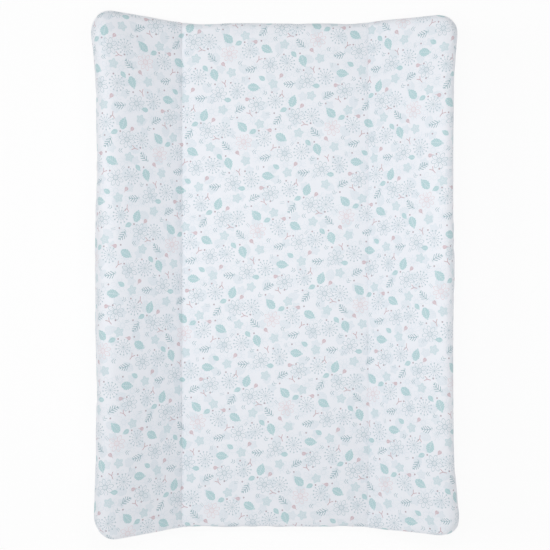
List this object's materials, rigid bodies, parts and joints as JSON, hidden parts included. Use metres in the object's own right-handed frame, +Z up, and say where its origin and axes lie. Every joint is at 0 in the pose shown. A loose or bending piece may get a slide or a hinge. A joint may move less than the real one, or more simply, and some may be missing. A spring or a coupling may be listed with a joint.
{
  "type": "changing mat",
  "caption": "Padded baby changing mat with a flat centre between two raised side wings, a printed zipped cover and foam blocks inside.",
  "frame": {"origin": "middle of the underside, on the surface that the mat lies on", "axes": "+Z up; +Y along the mat from the foot, where the zip is, to the head; +X across the mat"},
  "size_m": [0.489, 0.7, 0.1],
  "materials": {
    "printed_cloth": "coated cotton, semi-matt, with a small all-over print",
    "plain_cloth": "coated cloth, semi-matt, plain",
    "lining": "woven tape, matt",
    "foam": "open-cell foam, matt",
    "zip_tape": "woven tape, matt",
    "zip_teeth": "moulded, satin",
    "zip_metal": "plated, satin"
  },
  "bodies": {
    "mat": {"top_cover": "printed_cloth", "back_cover": "plain_cloth", "centre_foam": "foam", "left_wedge_foam": "foam", "right_wedge_foam": "foam", "left_crease_web": "lining", "right_crease_web": "lining", "upper_zip_tape": "zip_tape", "lower_zip_tape": "zip_tape", "upper_zip_teeth": "zip_teeth", "lower_zip_teeth": "zip_teeth", "upper_top_stop": "zip_teeth", "lower_top_stop": "zip_teeth", "bottom_stop": "zip_teeth"},
    "slider": {"zip_slider": "zip_metal"},
    "pull": {"zip_pull": "zip_metal"}
  },
  "joints": [
    {"name": "slider_slide", "type": "slide", "parent": "mat", "child": "slider", "axis": [-1, 0, 0], "range_m": [0, 0.3708], "deforming": ["upper_zip_teeth", "lower_zip_teeth"]},
    {"name": "pull_hinge", "type": "hinge", "parent": "slider", "child": "pull", "pos_m": [0.1859, -0.34776, 0.0135], "axis": [0, 0, 1], "range_deg": [0, 170]}
  ]
}
